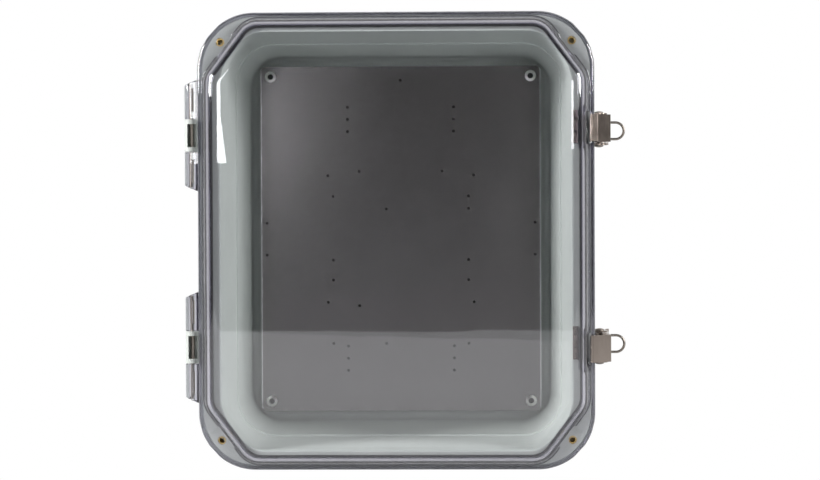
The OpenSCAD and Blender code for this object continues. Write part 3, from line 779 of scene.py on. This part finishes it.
def cover_cuts(bm):
    """Screw holes in the corners, and the slots of the hinge knuckles."""
    for flip_x, flip_y in QUARTERS:
        at = (SCREW_X * flip_x, SCREW_Y * flip_y, RIM_Z - RIM_T / 2)
        rod_at(bm, at, (0, 1, 0), SCREW_HOLE_R, RIM_T)
    for pin in HINGE_PINS:
        x, y, z = middle(pin)
        for side in (-1, 1):
            mid = y + side * SLOT_MID
            box_at(bm, (x + SLOT_LOW_X, mid - SLOT_HALF, z - PIN_BORE),
                   (x + SLOT_HIGH_X, mid + SLOT_HALF, z + 2 * KNUCKLE_R))


def cover_bores(bm):
    """Bores for the hinge pins."""
    for pin in HINGE_PINS:
        rod_at(bm, middle(pin), (0, 0, 1), PIN_BORE, KNUCKLE_END + BORE_OVER)


def boolean(target, tool, operation):
    """Applies a boolean of another object, which is then removed."""
    step = target.modifiers.new("step", "BOOLEAN")
    step.operation = operation
    step.solver = "EXACT"
    step.object = tool
    bpy.context.view_layer.update()
    shaped = target.evaluated_get(bpy.context.evaluated_depsgraph_get())
    mesh = bpy.data.meshes.new_from_object(shaped)
    target.modifiers.clear()
    target.data = mesh
    bpy.data.objects.remove(tool)


def smooth(piece):
    """Smooth shading with crisp edges."""
    mesh = piece.data
    mesh.polygons.foreach_set("use_smooth", [True] * len(mesh.polygons))
    mesh.set_sharp_from_angle(angle=math.radians(CREASE))


def dress(piece, slot):
    """Gives a piece one finish."""
    piece.data.materials.clear()
    piece.data.materials.append(MATERIALS[slot])


def make_cover():
    """The clear cover. It casts no shadow, so that the lamps light what is inside."""
    cover = mesh_object("clear_cover", cover_shell)
    boolean(cover, mesh_object("knuckles", cover_knuckles), "UNION")
    boolean(cover, mesh_object("cuts", cover_cuts), "DIFFERENCE")
    boolean(cover, mesh_object("bores", cover_bores), "DIFFERENCE")
    smooth(cover)
    dress(cover, "clear_moulding")
    cover.visible_shadow = False
    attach(cover, "cover")
    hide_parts("cover")


make_cover()


# Finishes of the pieces that come straight from the frame

FINISHES = {
    "grey_moulding": ["enclosure_base"],
    "seal_rubber": ["gasket"],
    "panel_aluminium": ["back_panel"],
    "brass": ["panel_inserts", "flange_inserts", "wall_inserts"],
    "screw_steel": ["panel_screws"],
    "drawn_steel": [*HINGE_PINS, "upper_latch_staple", "lower_latch_staple", "upper_lever_pin",
                    "lower_lever_pin", "upper_claw_pin", "lower_claw_pin"],
    "stainless": [*CLAWS, "upper_latch_lever", "lower_latch_lever", "upper_latch_bracket",
                  "lower_latch_bracket", "upper_backing_plate", "lower_backing_plate", "backing_screws",
                  "latch_screws", "latch_nuts"],
}
for slot, names in FINISHES.items():
    for name in names:
        dress(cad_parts[name], slot)


# Studio

def mirrored_or_through(tree, path):
    """1 for rays that a surface mirrors or lets through."""
    return calculate(tree, "MAXIMUM", path["Is Glossy Ray"], path["Is Transmission Ray"])


def background(tree, colour, strength):
    """Light that comes from all round."""
    return add(tree, "ShaderNodeBackground", Color=colour, Strength=strength).outputs["Background"]


def white_background():
    """A white cove behind the object and a dim room in front of it; lamps do most of the lighting."""
    world = bpy.data.worlds.new("studio")
    bpy.context.scene.world = world
    world.use_nodes = True
    tree = world.node_tree
    tree.nodes.clear()
    path = light_path(tree)
    ray = add(tree, "ShaderNodeTexCoord").outputs["Generated"]
    cove = add(tree, "ShaderNodeMapRange", {"interpolation_type": "SMOOTHSTEP"},
               Value=parts_of(tree, ray)["Y"], From_Min=-0.25, From_Max=0.9).outputs["Result"]
    room = colour_between(tree, cove, dark=(0.046, 0.043, 0.041), pale=WHITE)
    soft = background(tree, (0.97, 0.98, 1, 1), strength=0.22)
    lit = mix(tree, mirrored_or_through(tree, path), soft, background(tree, room, strength=1.0))
    shown = mix(tree, path["Is Camera Ray"], lit, background(tree, (*WHITE, 1), strength=1.0))
    add(tree, "ShaderNodeOutputWorld", Surface=shown)


def lamp(name, at, way, size, power, roll=0):
    """A soft box at a place in the row frame, turned to shine one way and rolled by some degrees."""
    data = bpy.data.lights.new(name, "AREA")
    data.shape = "RECTANGLE"
    data.size, data.size_y = size
    data.energy = power
    made = bpy.data.objects.new(name, data)
    bpy.context.scene.collection.objects.link(made)
    made.location = at
    facing = way.to_track_quat("-Z", "Y")
    made.rotation_euler = (facing @ Quaternion((0, 0, 1), math.radians(roll))).to_euler()


def emission(tree, strength):
    """White light from a surface."""
    return add(tree, "ShaderNodeEmission", Color=(*WHITE, 1), Strength=strength).outputs["Emission"]


def flat_sheet(name, corners, material):
    """A flat sheet that belongs to the studio."""
    made = mesh_object(name, flat_face, corners)
    made.data.materials.append(material)


def card(name, corners, y, strength, uneven):
    """An upright card of slightly uneven light: its corners in x and z, and its place in depth."""
    material, tree = new_material(name)
    weave = noise(tree, waves=40, detail=2)
    glow = spread(tree, weave, (1 - uneven) * strength, (1 + uneven) * strength)
    finish_with(tree, emission(tree, glow))
    flat_sheet(name, [(x, y, z) for x, z in corners], material)


def floor():
    """A pale floor well below the object, out of the camera's view, that runs into the white cove.

    Its white is only seen or mirrored, and lights nothing.
    """
    material, tree = new_material("pale_floor")
    cloud = spread(tree, noise(tree, waves=3, detail=2), 0, 1)
    paint = colour_between(tree, cloud, dark=(0.62, 0.62, 0.62), pale=(0.66, 0.66, 0.66))
    place = parts_of(tree, own_place(tree))
    fade = spread(tree, length_of(tree, place["X"], place["Y"]), 0, 1, *FLOOR_FADE)
    path = light_path(tree)
    seen = calculate(tree, "MAXIMUM", mirrored_or_through(tree, path), path["Is Camera Ray"])
    white_share = calculate(tree, "MULTIPLY", fade, seen)
    pale = principled(tree, Roughness=0.7, Base_Color=paint)
    finish_with(tree, mix(tree, white_share, pale, emission(tree, 1.0)))
    material.cycles.emission_sampling = "NONE"
    flat_sheet("floor", [(x * FLOOR_HALF, y * FLOOR_HALF, FLOOR_Z) for x, y in QUARTERS], material)


def lamps():
    """Large lamps on both sides, and the strips and the card that shine in the cover and the panel."""
    lamp("right_strip", RIGHT_STRIP_AT, STRAIGHT_BACK, RIGHT_STRIP_SIZE, power=0.9)
    for name, side, power in (("left_side", -1, 40), ("right_side", 1, 28)):
        at = Vector((side * SIDE_LAMP_X, SIDE_LAMP_Y, SIDE_LAMP_Z))
        lamp(name, at, SIDE_LAMP_AIM - at, SIDE_LAMP_SIZE, power)
    lamp("low_card", LOW_CARD_AT, STRAIGHT_BACK, LOW_CARD_SIZE, power=0.22, roll=LOW_CARD_ROLL)
    card("left_strip", LEFT_STRIP, STRIP_Y, strength=12, uneven=LEFT_STRIP_UNEVEN)


def make_camera():
    """The photograph's camera."""
    data = bpy.data.cameras.new("camera")
    data.sensor_width = SENSOR
    data.lens = SENSOR * FOCAL_PX / IMAGE_W
    camera = bpy.data.objects.new("camera", data)
    bpy.context.scene.collection.objects.link(camera)
    yaw, pitch, roll = (math.radians(a) for a in (CAMERA_YAW, CAMERA_PITCH, CAMERA_ROLL))
    turn = Matrix.Rotation(yaw, 3, "Z") @ Matrix.Rotation(pitch, 3, "X") @ Matrix.Rotation(roll, 3, "Y")
    right, ahead, up = (turn.col[i] for i in range(3))
    axes = Matrix((right, up, -ahead)).transposed()
    camera.matrix_world = Matrix.Translation(CAMERA_AT) @ axes.to_4x4()
    bpy.context.scene.camera = camera


white_background()
floor()
lamps()
make_camera()
bpy.context.scene.view_settings.view_transform = "Standard"
